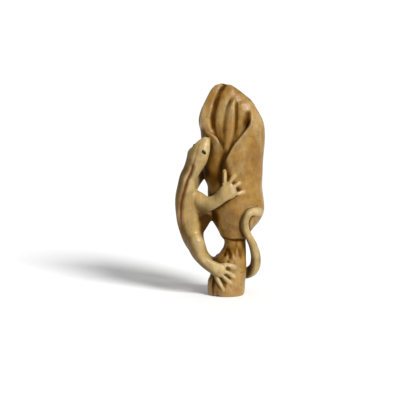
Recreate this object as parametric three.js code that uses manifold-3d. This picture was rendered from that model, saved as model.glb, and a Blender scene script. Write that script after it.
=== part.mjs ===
// A netsuke: a newt climbs the stalk of a furled leaf. Leaf, stalk and newt are carved from one
// piece of stag antler, and the newt's two eyes are pegs of dark horn set into its head.
// Millimetres, +Z up. The origin is the middle of the flat underside of the stalk. The leaf
// opens towards -Y, the front, and the newt clings to the -X side.
import * as THREE from 'three';
import { mergeVertices } from 'three/addons/utils/BufferGeometryUtils.js';
import Module from 'manifold-3d';

// ---- Driving dimensions --------------------------------------------------------------------

const LEAF_FOOT = 17.6; // height where the round bottom of the leaf meets the stalk
const LEAF_TOP = 70;
const BLADE_THICKNESS = 1.5;
const RIM_THICKNESS = 1;
const RIM_SHARE = 0.11; // of the blade's width, over which it thins out to its rim

// The leaf's outer form by height: [z, centre x, centre y, half width, half depth].
const LEAF = [
  [17.6, 2.9, 0.4, 3.4, 3.4],
  [18.8, 2.8, 0.5, 4.1, 4.1],
  [20.4, 3.0, 0.6, 5.0, 4.8],
  [22.2, 3.2, 0.8, 6.2, 5.7],
  [24.5, 3.5, 0.9, 7.9, 6.8],
  [28.0, 3.5, 1.0, 9.3, 7.6],
  [35.5, 3.1, 1.0, 9.0, 7.8],
  [38.5, 2.5, 1.0, 9.6, 7.9],
  [44.0, 2.1, 1.0, 10.1, 8.0],
  [53.6, 2.2, 1.0, 10.5, 8.0],
  [57.5, 1.8, 1.0, 10.2, 7.6],
  [60.8, 1.3, 1.0, 9.0, 6.6],
  [64.1, 1.0, 1.1, 7.2, 5.2],
  [66.6, 0.1, 1.2, 5.2, 3.6],
  [68.7, -0.8, 1.3, 2.8, 2.2],
  [70.0, -0.8, 1.3, 1.1, 0.9],
];

// The two free edges of the blade: [z, degrees round the leaf from the front, + towards +X].
// Below z = 44 the right edge laps over the left one.
const LEFT_EDGE = [
  [17.6, -20],
  [38.0, -24],
  [43.4, -22],
  [47.6, -20],
  [50.4, -24],
  [52.5, -32],
  [54.0, -50],
  [56.0, -74],
  [61.0, -88],
  [66.0, -100],
  [70.0, -140],
];
const RIGHT_EDGE = [
  [17.6, -30],
  [36.8, -25],
  [43.2, -19],
  [46.6, -8],
  [50.8, 6],
  [55.9, 31],
  [60.7, 50],
  [63.2, 68],
  [65.6, 108],
  [70.0, 165],
];
// The blade's two halves meet at the back: the left one grows out from under the right one there.
const RIGHT_HALF_END = -128;
const LEFT_HALF_START = -142;
const LEFT_HALF_SHARE = 0.99; // of the leaf's outer form
// Low down the left edge is tucked in under the right one; at the top it turns out into a lip.
const LEFT_EDGE_TUCK = 0.09;
const LEFT_EDGE_LIP = 0.06;
const LIP_SHARE = 0.5; // of the half's width, over which it turns in or out
const LIP_FROM = 46;
const LIP_TO = 52;
// Low down the right edge sinks back into the leaf, and it is free from EDGE_FREE up.
const RIGHT_EDGE_SINK = 0.08;
const EDGE_SUNK = 26;
const EDGE_FREE = 36;

// The folded heart of the leaf: [z, centre x, centre y, half width, half depth].
const HEART = [
  [16.0, 3.2, 0.4, 2.6, 2.4],
  [20.0, 3.1, 0.6, 3.8, 3.6],
  [25.0, 3.3, 0.9, 7.0, 5.9],
  [31.0, 3.0, 1.0, 8.7, 7.1],
  [41.0, 2.8, 1.0, 8.4, 7.0],
  [45.0, 2.9, 1.1, 8.2, 6.8],
  [48.4, 3.4, 1.4, 6.3, 5.8],
  [53.5, 3.3, 1.5, 6.8, 5.0],
  [57.5, 3.3, 1.5, 7.7, 4.8],
  [61.0, 2.9, 1.5, 6.7, 4.5],
  [64.1, 2.7, 1.5, 5.1, 3.9],
  [66.6, 1.9, 1.6, 3.2, 2.8],
  [68.9, 0.7, 1.7, 0.9, 1.2],
];

// Four folds in the mouth of the leaf, in front of its heart, from the left, each from the bottom
// up: [x, y, z, half width, half depth, roll]. Roll turns a fold from the front, -Y, towards -X,
// in degrees.
const LEFT_FOLD = [
  [-1.8, -3.9, 47.6, 0.5, 1.2, 0],
  [-2.8, -3.4, 50.0, 0.75, 1.5, 5],
  [-4.1, -2.6, 52.6, 1.1, 1.8, 10],
  [-5.5, -2.2, 54.6, 1.6, 1.9, 15],
  [-6.2, -2.0, 56.6, 2.0, 1.9, 20],
  [-6.1, -1.8, 59.0, 2.15, 1.9, 20],
  [-5.5, -1.3, 61.6, 2.1, 1.8, 20],
  [-4.4, -0.6, 64.2, 1.85, 1.6, 20],
  [-3.3, -0.1, 66.4, 1.7, 1.4, 15],
  [-2.3, 0.4, 67.9, 1.3, 1.1, 10],
  [-1.2, 1.0, 69.4, 0.6, 0.5, 0],
];
const BACK_FOLD = [
  [-1.1, -3.9, 46.6, 0.4, 1.2, 0],
  [-1.2, -3.7, 48.8, 0.65, 1.4, 5],
  [-1.5, -3.0, 51.4, 1.15, 1.7, 10],
  [-1.7, -2.0, 54.0, 1.75, 1.9, 15],
  [-1.6, -1.6, 57.4, 2.05, 1.9, 20],
  [-1.1, -1.3, 60.8, 2.1, 1.9, 20],
  [-0.1, -0.7, 63.8, 2.3, 1.7, 15],
  [0.9, -0.1, 66.3, 2.3, 1.4, 10],
  [0.9, 0.9, 68.4, 1.2, 0.8, 0],
];
const MIDDLE_FOLD = [
  [-0.8, -5.2, 44.0, 0.5, 1.0, 0],
  [-0.3, -4.7, 46.4, 0.75, 1.4, 0],
  [0.4, -4.3, 48.8, 1.05, 1.7, 0],
  [1.1, -4.1, 51.4, 1.3, 1.9, 5],
  [1.5, -3.9, 54.0, 1.35, 1.9, 5],
  [1.8, -3.6, 57.4, 1.3, 1.9, 5],
  [2.1, -3.1, 60.6, 1.1, 1.7, 5],
  [2.4, -2.5, 62.9, 0.75, 1.4, 5],
  [2.8, -2.0, 64.3, 0.4, 0.9, 0],
];
const RIGHT_FOLD = [
  [1.2, -4.5, 46.4, 0.9, 1.2, 0],
  [2.2, -4.1, 48.8, 1.1, 1.5, 0],
  [3.4, -3.4, 51.6, 1.4, 1.7, -5],
  [4.7, -2.8, 54.4, 1.8, 1.7, -10],
  [5.5, -2.4, 57.0, 2.3, 1.7, -15],
  [6.0, -1.9, 60.0, 2.7, 1.7, -15],
  [6.1, -1.3, 62.2, 2.7, 1.5, -15],
  [6.1, -0.6, 63.7, 2.4, 0.9, -10],
];
const FOLD_FLATNESS = 2.6; // 2 is an oval section, more is nearer to a rectangle

// The stalk, from its flat foot up into the leaf: [z, centre x, centre y, half width, half depth].
const STALK = [
  [0.0, 0.2, 0.0, 5.7, 5.4],
  [0.7, 0.2, 0.0, 6.0, 5.7],
  [4.6, 0.3, 0.0, 6.2, 5.8],
  [6.4, 0.8, 0.1, 6.0, 5.5],
  [9.0, 1.1, 0.2, 5.8, 5.2],
  [12.0, 1.7, 0.3, 5.1, 4.7],
  [15.0, 2.9, 0.4, 3.9, 3.8],
  [17.2, 3.2, 0.4, 3.5, 3.4],
  [20.5, 3.1, 0.5, 3.6, 3.4],
];

// The newt from snout to tail tip: [x, y, z, half width, half height of the body, roll]. Roll
// turns its back from the front, -Y, towards -X, in degrees.
const NEWT = [
  [-6.2, -5.6, 52.2, 0.9, 0.7, 48],
  [-6.6, -5.9, 51.0, 1.8, 1.6, 50],
  [-7.7, -6.0, 48.7, 2.9, 2.6, 51],
  [-9.3, -5.4, 45.3, 3.5, 3.0, 46],
  [-11.0, -4.3, 41.6, 2.9, 2.6, 36],
  [-12.4, -3.3, 38.2, 2.9, 2.8, 34],
  [-12.6, -1.9, 32.0, 3.8, 4.1, 36],
  [-11.9, -1.2, 26.6, 3.9, 4.8, 36],
  [-11.2, -0.9, 21.4, 3.8, 3.9, 40],
  [-9.8, 0.3, 16.8, 3.3, 3.1, 62],
  [-7.3, 3.4, 12.2, 2.2, 2.2, 112],
  [-2.8, 6.2, 8.2, 1.9, 1.9, 160],
  [2.8, 6.7, 6.4, 1.9, 1.9, 206],
  [7.0, 4.7, 6.2, 1.9, 1.9, 240],
  [9.5, 1.9, 8.4, 1.85, 1.85, 260],
  [10.0, -0.6, 12.4, 1.65, 1.65, 274],
  [9.0, -2.4, 16.4, 1.45, 1.45, 284],
  [7.3, -3.7, 19.8, 1.25, 1.25, 296],
  [6.1, -5.0, 22.6, 1.15, 1.15, 310],
  [6.0, -6.2, 25.6, 1.15, 1.1, 326],
  [7.8, -6.2, 27.9, 1.2, 1.1, 312],
  [10.0, -4.2, 28.1, 1.25, 1.0, 292],
  [11.5, -0.8, 27.4, 1.0, 0.7, 268],
  [11.2, 3.8, 26.6, 0.3, 0.3, 245],
];
// The belly, under the body and against the leaf, in the same terms.
const BELLY = [
  [-9.7, -0.7, 19.6, 1.5, 1.4, 0],
  [-8.3, -0.5, 23.6, 2.6, 2.6, 0],
  [-7.2, -0.3, 27.4, 3.2, 3.2, 0],
  [-7.6, -0.4, 30.6, 2.4, 2.4, 0],
];
const SPINE_GROOVE = 0.1; // depth of the groove down the back, as a share of the half height
const GROOVE_FROM = 4; // rows of NEWT, from 0, that the groove runs between
const GROOVE_TO = 9;

// The limbs from root to palm: [x, y, z, half width, half thickness].
const LIMBS = {
  right_arm: [
    [-12.2, -1.2, 31.8, 2.6, 2.6],
    [-9.2, -3.1, 31.1, 3.6, 2.7],
    [-5.9, -4.7, 30.6, 2.5, 2.2],
    [-3.0, -6.1, 31.9, 2.1, 1.7],
    [-0.8, -7.2, 33.9, 2.4, 1.3],
    [0.7, -7.4, 35.3, 3.0, 1.0],
    [1.7, -7.3, 36.3, 2.4, 0.7],
    [2.3, -7.2, 36.9, 1.2, 0.4],
  ],
  left_arm: [
    [-12.0, -0.8, 34.0, 2.0, 2.0],
    [-10.6, 1.4, 36.4, 2.2, 2.0],
    [-8.4, 3.9, 39.2, 2.3, 1.8],
    [-5.6, 6.5, 41.0, 2.1, 1.4],
    [-2.8, 8.4, 41.6, 2.3, 0.9],
    [-1.6, 8.9, 41.8, 1.3, 0.4],
  ],
  right_leg: [
    [-11.0, -1.4, 22.4, 2.2, 2.4],
    [-9.8, -2.8, 17.8, 3.6, 2.9],
    [-8.6, -3.4, 14.6, 3.3, 2.6],
    [-7.2, -3.9, 12.4, 2.5, 2.2],
    [-5.7, -4.3, 10.7, 2.2, 1.8],
    [-3.4, -4.9, 9.4, 2.4, 1.4],
    [-1.4, -5.4, 8.6, 2.4, 0.9],
    [-0.4, -5.4, 8.2, 1.4, 0.5],
  ],
  left_leg: [
    [-9.8, 0.6, 18.2, 1.9, 2.0],
    [-8.2, 1.0, 13.9, 1.8, 1.8],
    [-6.0, 1.7, 10.6, 1.6, 1.5],
    [-3.8, 3.4, 9.9, 1.6, 1.3],
    [-1.6, 5.0, 11.3, 2.0, 0.9],
    [-0.8, 5.2, 12.1, 1.2, 0.4],
  ],
};

// Fingers and toes, each [x, z] of its knuckle, middle and tip. They lie on the leaf or on the
// stalk, on its front (side -1) or its back (side 1).
const DIGITS = {
  right_hand: {
    on: 'leaf', side: -1, radius: 0.64,
    paths: [
      [[0.0, 36.2], [-0.1, 39.4], [-0.4, 42.0]],
      [[1.0, 36.4], [2.0, 38.6], [3.1, 40.3]],
      [[1.7, 36.0], [3.4, 37.0], [4.8, 38.2]],
      [[1.9, 34.8], [4.2, 34.5], [6.1, 35.2]],
    ],
  },
  left_hand: {
    on: 'leaf', side: 1, radius: 0.72,
    paths: [
      [[-2.8, 42.6], [-1.8, 45.0], [-0.4, 46.8]],
      [[-2.0, 42.4], [0.2, 43.6], [2.0, 44.4]],
      [[-2.0, 41.6], [0.4, 41.2], [2.6, 40.8]],
      [[-2.8, 41.2], [-1.2, 39.2], [0.4, 37.8]],
    ],
  },
  right_foot: {
    on: 'stalk', side: -1, radius: 0.62,
    paths: [
      [[-1.6, 10.4], [0.8, 10.5], [3.0, 9.8]],
      [[-1.6, 9.2], [0.6, 8.1], [2.7, 6.9]],
      [[-2.3, 8.4], [-0.3, 6.3], [1.6, 4.8]],
      [[-3.4, 7.6], [-2.2, 4.9], [-0.9, 2.7]],
    ],
  },
  left_foot: {
    on: 'stalk', side: 1, radius: 0.7,
    paths: [
      [[-1.4, 12.2], [-0.8, 14.2], [0.2, 15.8]],
      [[-0.8, 12.4], [0.8, 13.8], [2.2, 14.8]],
      [[-0.6, 11.8], [1.4, 12.0], [3.2, 12.4]],
      [[-0.8, 11.0], [1.0, 10.2], [2.8, 10.0]],
    ],
  },
};

// How high a finger's knuckle, middle and tip stand off what it lies on, and their thickness.
const DIGIT_LIFT = [0.4, 0.35, 0.05];
const DIGIT_TAPER = [1.2, 0.95, 0.45];
const FARTHEST_ROUND = 0.98; // share of a form's half width beyond which no digit's point lies
const FINGERTIP = 0.12; // how far the round tip runs on, as a share of the last stretch
const FINGERTIP_TAPER = 0.2;

const EYE_AT = 2.1; // place along the newt, in rows of NEWT
const EYE_ANGLE = 58; // from the line of the back, in degrees
const EYE_RADIUS = 0.58;
const EYE_DEPTH = 1.1;
const EYE_DOME = 0.28;
const SOCKET_CLEARANCE = 0.06;
const SOCKET_RISE = 1; // how far the cutter for a socket stands out of the head

// How finely the surfaces are faceted.
const LEAF_LEVELS = 20;
const RIGHT_HALF_STRIPS = 16;
const LEFT_HALF_STRIPS = 10;
const HEART_SIDES = 18;
const STALK_SIDES = 22;
const NEWT_SIDES = 14;
const BELLY_SIDES = 12;
const LIMB_SIDES = 10;
const FOLD_SIDES = 10;
const DIGIT_SIDES = 6;
const EYE_SIDES = 10;
const HEADING_SPAN = 0.05; // in rows, on each side of a station, for the heading of its path
const WELD = 1e-4; // corners nearer than this are one corner

// ---- Curves through the rows ---------------------------------------------------------------

// A smooth value of one column of the rows, read at t on the axis column.
function column(rows, index, axis = 0) {
  const slope = (i) => {
    const a = rows[Math.max(i - 1, 0)];
    const b = rows[Math.min(i + 1, rows.length - 1)];
    return (b[index] - a[index]) / (b[axis] - a[axis]);
  };
  return (t) => {
    let i = 0;
    while (i < rows.length - 2 && t > rows[i + 1][axis]) i += 1;
    const span = rows[i + 1][axis] - rows[i][axis];
    const u = THREE.MathUtils.clamp((t - rows[i][axis]) / span, 0, 1);
    const [v0, v1, m0, m1] = [rows[i][index], rows[i + 1][index], slope(i) * span, slope(i + 1) * span];
    const turn = v1 - v0;
    return v0 + u * (m0 + u * (3 * turn - 2 * m0 - m1 + u * (m0 + m1 - 2 * turn)));
  };
}

// An oval form by height, as { x, y, width, depth } of its section at z.
function ovalForm(rows) {
  const [x, y, width, depth] = [1, 2, 3, 4].map((i) => column(rows, i));
  return (z) => ({ x: x(z), y: y(z), width: width(z), depth: depth(z) });
}

const leafForm = ovalForm(LEAF);
const stalkForm = ovalForm(STALK);
const leftEdge = column(LEFT_EDGE, 1);
const rightEdge = column(RIGHT_EDGE, 1);

// The point of an oval section at an angle from the front, at a share of its radius.
function ovalPoint(form, z, degrees, share = 1, inset = 0) {
  const s = form(z);
  const angle = THREE.MathUtils.degToRad(degrees);
  return new THREE.Vector3(
    s.x + (s.width * share - inset) * Math.sin(angle),
    s.y - (s.depth * share - inset) * Math.cos(angle),
    z,
  );
}

// The point of an oval form at a given x and z, on its front (side -1) or its back (side 1).
function onForm(form, side, x, z, lift) {
  const s = form(z);
  const across = THREE.MathUtils.clamp((x - s.x) / s.width, -FARTHEST_ROUND, FARTHEST_ROUND);
  const y = s.y + side * (s.depth * Math.sqrt(1 - across * across) + lift);
  return new THREE.Vector3(x, y, z);
}

// ---- Solids --------------------------------------------------------------------------------

// A closed skin over equal loops of points. Each end is closed by a strip across its loop.
function loft(loops) {
  const sides = loops[0].length;
  const position = loops.flat().flatMap((p) => [p.x, p.y, p.z]);
  const index = [];
  for (let i = 0; i < loops.length - 1; i += 1) {
    for (let j = 0; j < sides; j += 1) {
      const a = i * sides + j;
      const b = i * sides + ((j + 1) % sides);
      index.push(a, b, b + sides, a, b + sides, a + sides);
    }
  }
  const top = (loops.length - 1) * sides;
  for (let j = 0; j < sides / 2 - 1; j += 1) {
    const [a, b, c, d] = [j, j + 1, sides - 2 - j, sides - 1 - j];
    index.push(a, c, b, a, d, c, top + a, top + b, top + c, top + a, top + c, top + d);
  }
  const geometry = new THREE.BufferGeometry();
  geometry.setAttribute('position', new THREE.Float32BufferAttribute(position, 3));
  geometry.setIndex(index);
  return geometry;
}

// n + 1 numbers from a to b.
const steps = (a, b, n) => Array.from({ length: n + 1 }, (_, i) => a + ((b - a) * i) / n);

// One half of the leaf's blade: at each height a band that follows the leaf's form between two
// angles, at a share of its radius that shareAt gives. Its rim is at the second angle.
function halfBlade(levels, fromAngle, toAngle, shareAt, sides) {
  return loft(levels.map((z) => {
    const band = steps(0, 1, sides).map((u) => {
      const inFromRim = Math.min(1, (1 - u) / RIM_SHARE);
      const thickness = THREE.MathUtils.lerp(RIM_THICKNESS, BLADE_THICKNESS, inFromRim);
      const angle = THREE.MathUtils.lerp(fromAngle(z), toAngle(z), u);
      const share = shareAt(u, z);
      return [ovalPoint(leafForm, z, angle, share), ovalPoint(leafForm, z, angle, share, thickness)];
    });
    return [...band.map((pair) => pair[0]), ...band.map((pair) => pair[1]).reverse()];
  }));
}

// A solid of oval sections, one at each row.
function ovalSolid(rows, sides) {
  const form = ovalForm(rows);
  const angles = steps(0, 360, sides).slice(0, -1);
  return loft(rows.map(([z]) => angles.map((angle) => ovalPoint(form, z, angle))));
}

// The frame of a swept solid at station t: its centre, its heading, and its section's two axes.
function sweepFrame(rows, facing) {
  const axis = rows.map((row, i) => [i, ...row]);
  const read = rows[0].map((_, i) => column(axis, i + 1));
  const centreAt = (t) => new THREE.Vector3(read[0](t), read[1](t), read[2](t));
  return (t) => {
    const centre = centreAt(t);
    const before = centreAt(Math.max(t - HEADING_SPAN, 0));
    const after = centreAt(Math.min(t + HEADING_SPAN, rows.length - 1));
    const heading = after.sub(before).normalize();
    const up = facing(centre, read.slice(5).map((f) => f(t)));
    up.addScaledVector(heading, -up.dot(heading)).normalize();
    const across = new THREE.Vector3().crossVectors(up, heading);
    return { centre, heading, up, across, width: read[3](t), height: read[4](t) };
  };
}

// A solid swept along rows of [x, y, z, half width, half height]: an oval carried along a path.
// facing gives the way its height points, and shareAt the share of the oval's radius at an angle.
function sweep(rows, ringsPerRow, sides, facing, shareAt = () => 1) {
  const frameAt = sweepFrame(rows, facing);
  const last = rows.length - 1;
  return loft(steps(0, last, last * ringsPerRow).map((t) => {
    const f = frameAt(t);
    return steps(0, 360, sides).slice(0, -1).map((degrees) => {
      const angle = THREE.MathUtils.degToRad(degrees);
      const share = shareAt(angle, t);
      return f.centre.clone()
        .addScaledVector(f.across, f.width * share * Math.sin(angle))
        .addScaledVector(f.up, f.height * share * Math.cos(angle));
    });
  }));
}

// The way a fold's front or the newt's back faces: -Y turned by the roll towards -X.
const rolled = (centre, [roll]) => {
  const angle = THREE.MathUtils.degToRad(roll);
  return new THREE.Vector3(-Math.sin(angle), -Math.cos(angle), 0);
};

// ---- Leaf and stalk ------------------------------------------------------------------------

const { lerp, smoothstep } = THREE.MathUtils;

function rightHalf() {
  const levels = steps(LEAF_FOOT, LEAF_TOP, LEAF_LEVELS);
  const sink = (z) => RIGHT_EDGE_SINK * (1 - smoothstep(z, EDGE_SUNK, EDGE_FREE));
  const share = (u, z) => 1 - sink(z) * smoothstep(u, 1 - RIM_SHARE, 1);
  return halfBlade(levels, () => RIGHT_HALF_END + 360, rightEdge, share, RIGHT_HALF_STRIPS);
}

function leftHalf() {
  const levels = steps(LEAF_FOOT + RIM_THICKNESS, LEAF_TOP - RIM_THICKNESS, LEAF_LEVELS);
  const turn = (z) => lerp(-LEFT_EDGE_TUCK, LEFT_EDGE_LIP, smoothstep(z, LIP_FROM, LIP_TO));
  const share = (u, z) => LEFT_HALF_SHARE + turn(z) * smoothstep(u, 1 - LIP_SHARE, 1);
  return halfBlade(levels, () => LEFT_HALF_START, leftEdge, share, LEFT_HALF_STRIPS);
}

// The share of an oval's radius that makes its section as flat as FOLD_FLATNESS says.
function flattened(angle) {
  const [across, up] = [Math.sin(angle), Math.cos(angle)].map(Math.abs);
  return (across ** FOLD_FLATNESS + up ** FOLD_FLATNESS) ** (-1 / FOLD_FLATNESS);
}

function leafAndStalk() {
  const folds = [LEFT_FOLD, BACK_FOLD, MIDDLE_FOLD, RIGHT_FOLD];
  return [
    rightHalf(),
    leftHalf(),
    ovalSolid(HEART, HEART_SIDES),
    ...folds.map((rows) => sweep(rows, 1, FOLD_SIDES, rolled, flattened)),
    ovalSolid(STALK, STALK_SIDES),
  ];
}

// ---- Newt ----------------------------------------------------------------------------------

function newtBody() {
  const grooved = (angle, t) => {
    const onBack = angle === 0 && t > GROOVE_FROM && t < GROOVE_TO;
    return onBack ? 1 - SPINE_GROOVE : 1;
  };
  return sweep(NEWT, 2, NEWT_SIDES, rolled, grooved);
}

// The outward direction from a form's axis, which a palm or a finger turns its back to.
const awayFrom = (form) => (centre) => {
  const s = form(centre.z);
  return new THREE.Vector3(centre.x - s.x, centre.y - s.y, 0);
};

function limb(name) {
  const form = name.endsWith('arm') ? leafForm : stalkForm;
  return sweep(LIMBS[name], 2, LIMB_SIDES, awayFrom(form));
}

function digits({ on, side, radius, paths }) {
  const form = on === 'leaf' ? leafForm : stalkForm;
  const row = ([x, z], lift, taper) => {
    const place = onForm(form, side, x, z, lift);
    return [...place.toArray(), radius * taper, radius * taper];
  };
  return paths.map((path) => {
    const rows = path.map((point, i) => row(point, DIGIT_LIFT[i], DIGIT_TAPER[i]));
    const [, middle, tip] = path;
    const beyond = tip.map((value, i) => value + (value - middle[i]) * FINGERTIP);
    return sweep([...rows, row(beyond, 0, FINGERTIP_TAPER)], 1, DIGIT_SIDES, awayFrom(form));
  });
}

function newtParts() {
  return [
    newtBody(),
    sweep(BELLY, 2, BELLY_SIDES, rolled),
    ...Object.keys(LIMBS).map(limb),
    ...Object.values(DIGITS).flatMap(digits),
  ];
}

// ---- Eyes ----------------------------------------------------------------------------------

// Where an eye sits on the head, on the newt's right (side 1) or left (side -1), and its way out.
function eyePlace(side) {
  const f = sweepFrame(NEWT, rolled)(EYE_AT);
  const angle = THREE.MathUtils.degToRad(EYE_ANGLE) * side;
  const out = new THREE.Vector3()
    .addScaledVector(f.across, f.width * Math.sin(angle))
    .addScaledVector(f.up, f.height * Math.cos(angle));
  return { centre: f.centre.clone().add(out), out: out.normalize() };
}

// A round peg with a low dome, its flat end at the bottom, turned to point out of the head.
function peg(side, radius, depth, dome) {
  const profile = [new THREE.Vector2(0, -depth), new THREE.Vector2(radius, -depth)];
  steps(0, 90, 4).forEach((degrees) => {
    const angle = THREE.MathUtils.degToRad(degrees);
    const across = degrees === 90 ? 0 : radius * Math.cos(angle);
    profile.push(new THREE.Vector2(across, dome * Math.sin(angle)));
  });
  const place = eyePlace(side);
  const turn = new THREE.Quaternion().setFromUnitVectors(new THREE.Vector3(0, 1, 0), place.out);
  return new THREE.LatheGeometry(profile, EYE_SIDES)
    .applyQuaternion(turn)
    .translate(place.centre.x, place.centre.y, place.centre.z);
}

// ---- Joining and cutting -------------------------------------------------------------------

const wasm = await Module();
wasm.setup();

function toSolid(geometry) {
  const bare = geometry.index ? geometry.toNonIndexed() : geometry.clone();
  bare.deleteAttribute('normal');
  bare.deleteAttribute('uv');
  const merged = mergeVertices(bare, WELD);
  const corners = merged.index.array;
  const triangles = [];
  for (let i = 0; i < corners.length; i += 3) {
    const [a, b, c] = corners.slice(i, i + 3);
    if (a !== b && b !== c && a !== c) triangles.push(a, b, c);
  }
  const make = (triVerts) => new wasm.Manifold(new wasm.Mesh({
    numProp: 3,
    vertProperties: merged.attributes.position.array,
    triVerts: new Uint32Array(triVerts),
  }));
  const solid = make(triangles);
  return solid.volume() > 0 ? solid : make(triangles.reverse());
}

function toGeometry(solid) {
  const mesh = solid.getMesh();
  const geometry = new THREE.BufferGeometry();
  geometry.setAttribute('position', new THREE.BufferAttribute(mesh.vertProperties, 3));
  geometry.setIndex(new THREE.BufferAttribute(mesh.triVerts, 1));
  geometry.computeVertexNormals();
  return geometry;
}

function carving() {
  const joined = [...leafAndStalk(), ...newtParts()].map(toSolid).reduce((a, b) => a.add(b));
  const sockets = [1, -1].map((side) => {
    const room = SOCKET_CLEARANCE;
    return toSolid(peg(side, EYE_RADIUS + room, EYE_DEPTH + room, SOCKET_RISE));
  });
  const carved = sockets.reduce((a, b) => a.subtract(b), joined);
  // Hollows sealed off inside the leaf are filled: only the outer skin is kept.
  return toGeometry(carved.decompose().reduce((a, b) => (b.volume() > a.volume() ? b : a)));
}

// ---- The object ----------------------------------------------------------------------------

const antler = new THREE.MeshStandardMaterial({ color: 0xc69c5f, roughness: 0.38, metalness: 0 });
const horn = new THREE.MeshStandardMaterial({ color: 0x120c08, roughness: 0.15, metalness: 0 });

function named(name, geometry, material) {
  const mesh = new THREE.Mesh(geometry, material);
  mesh.name = name;
  return mesh;
}

const netsuke = new THREE.Group();
netsuke.add(named('newt_and_leaf', carving(), antler));
netsuke.add(named('right_eye', peg(1, EYE_RADIUS, EYE_DEPTH, EYE_DOME), horn));
netsuke.add(named('left_eye', peg(-1, EYE_RADIUS, EYE_DEPTH, EYE_DOME), horn));

export default netsuke;
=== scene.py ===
"""A netsuke: a newt climbs the stalk of a furled leaf. Leaf, stalk and newt are carved from one
piece of stag antler, and the newt's eyes are pegs of dark horn."""

import bpy
import numpy as np
import openvdb
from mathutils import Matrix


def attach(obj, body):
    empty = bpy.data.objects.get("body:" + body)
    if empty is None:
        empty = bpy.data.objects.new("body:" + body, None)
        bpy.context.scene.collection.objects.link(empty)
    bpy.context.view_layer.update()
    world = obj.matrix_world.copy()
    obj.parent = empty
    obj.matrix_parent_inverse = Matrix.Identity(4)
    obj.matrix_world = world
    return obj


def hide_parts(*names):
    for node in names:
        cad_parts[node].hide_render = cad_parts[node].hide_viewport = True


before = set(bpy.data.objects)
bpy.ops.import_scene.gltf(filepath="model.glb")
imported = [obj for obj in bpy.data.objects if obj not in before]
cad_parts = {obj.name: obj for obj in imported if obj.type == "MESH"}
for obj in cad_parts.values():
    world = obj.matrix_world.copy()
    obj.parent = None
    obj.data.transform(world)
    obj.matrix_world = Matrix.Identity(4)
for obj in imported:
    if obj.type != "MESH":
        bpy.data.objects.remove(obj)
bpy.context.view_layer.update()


# ---- Leaf and stalk --------------------------------------------------------------------------
# A leaf blade furled round its own heart on a short thick stalk. The blade's right edge laps over
# its left one, and both are pared thin and open at the top over four inner folds. The stalk is
# sawn off square for a foot. Sizes are in millimetres. They are those of the solid, but for a few
# on the folds, the digits and the tail that are finer here.

MM = 0.001

LEAF_FOOT = 17.6  # height where the round bottom of the leaf meets the stalk
LEAF_TOP = 70
BLADE_THICKNESS = 1.5
RIM_THICKNESS = 1
RIM_SHARE = 0.11  # of the blade's width, over which it thins out to its rim
HEADING_STEP = 0.05  # of a row, to either side, over which the heading of a path is taken

# The leaf's outer form by height: [z, centre x, centre y, half width, half depth].
LEAF = [
    [17.6, 2.9, 0.4, 3.4, 3.4],
    [18.8, 2.8, 0.5, 4.1, 4.1],
    [20.4, 3.0, 0.6, 5.0, 4.8],
    [22.2, 3.2, 0.8, 6.2, 5.7],
    [24.5, 3.5, 0.9, 7.9, 6.8],
    [28.0, 3.5, 1.0, 9.3, 7.6],
    [35.5, 3.1, 1.0, 9.0, 7.8],
    [38.5, 2.5, 1.0, 9.6, 7.9],
    [44.0, 2.1, 1.0, 10.1, 8.0],
    [53.6, 2.2, 1.0, 10.5, 8.0],
    [57.5, 1.8, 1.0, 10.2, 7.6],
    [60.8, 1.3, 1.0, 9.0, 6.6],
    [64.1, 1.0, 1.1, 7.2, 5.2],
    [66.6, 0.1, 1.2, 5.2, 3.6],
    [68.7, -0.8, 1.3, 2.8, 2.2],
    [70.0, -0.8, 1.3, 1.1, 0.9],
]

# The two free edges of the blade: [z, degrees round the leaf from the front, + towards +X].
LEFT_EDGE = [
    [17.6, -20],
    [38.0, -24],
    [43.4, -22],
    [47.6, -20],
    [50.4, -24],
    [52.5, -32],
    [54.0, -50],
    [56.0, -74],
    [61.0, -88],
    [66.0, -100],
    [70.0, -140],
]
RIGHT_EDGE = [
    [17.6, -30],
    [36.8, -25],
    [43.2, -19],
    [46.6, -8],
    [50.8, 6],
    [55.9, 31],
    [60.7, 50],
    [63.2, 68],
    [65.6, 108],
    [70.0, 165],
]
# The blade's two halves meet at the back: the left one grows out from under the right one there.
RIGHT_HALF_END = -128
LEFT_HALF_START = -142
LEFT_HALF_SHARE = 0.99  # of the leaf's outer form
# Low down the left edge is tucked in under the right one; at the top it turns out into a lip.
LEFT_EDGE_TUCK = 0.09
LEFT_EDGE_LIP = 0.06
LIP_FROM = 46
LIP_TO = 52
# Low down the right edge sinks back into the leaf, and it is free from EDGE_FREE up.
RIGHT_EDGE_SINK = 0.08
EDGE_SUNK = 26
EDGE_FREE = 36

# The folded heart of the leaf, in the same terms as LEAF, and four folds in front of it, from the
# left: [x, y, z, half width, half depth, roll], from the bottom up. Roll turns a fold from the
# front, -Y, towards -X, in degrees.
HEART = [
    [16.0, 3.2, 0.4, 2.6, 2.4],
    [20.0, 3.1, 0.6, 3.8, 3.6],
    [25.0, 3.3, 0.9, 7.0, 5.9],
    [31.0, 3.0, 1.0, 8.7, 7.1],
    [41.0, 2.8, 1.0, 8.4, 7.0],
    [45.0, 2.9, 1.1, 8.2, 6.8],
    [48.4, 3.4, 1.4, 6.3, 5.8],
    [53.5, 3.3, 1.5, 6.8, 5.0],
    [57.5, 3.3, 1.5, 7.7, 4.8],
    [61.0, 2.9, 1.5, 6.7, 4.5],
    [64.1, 2.7, 1.5, 5.1, 3.9],
    [66.6, 1.9, 1.6, 3.2, 2.8],
    [68.9, 0.7, 1.7, 0.9, 1.2],
]
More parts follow.
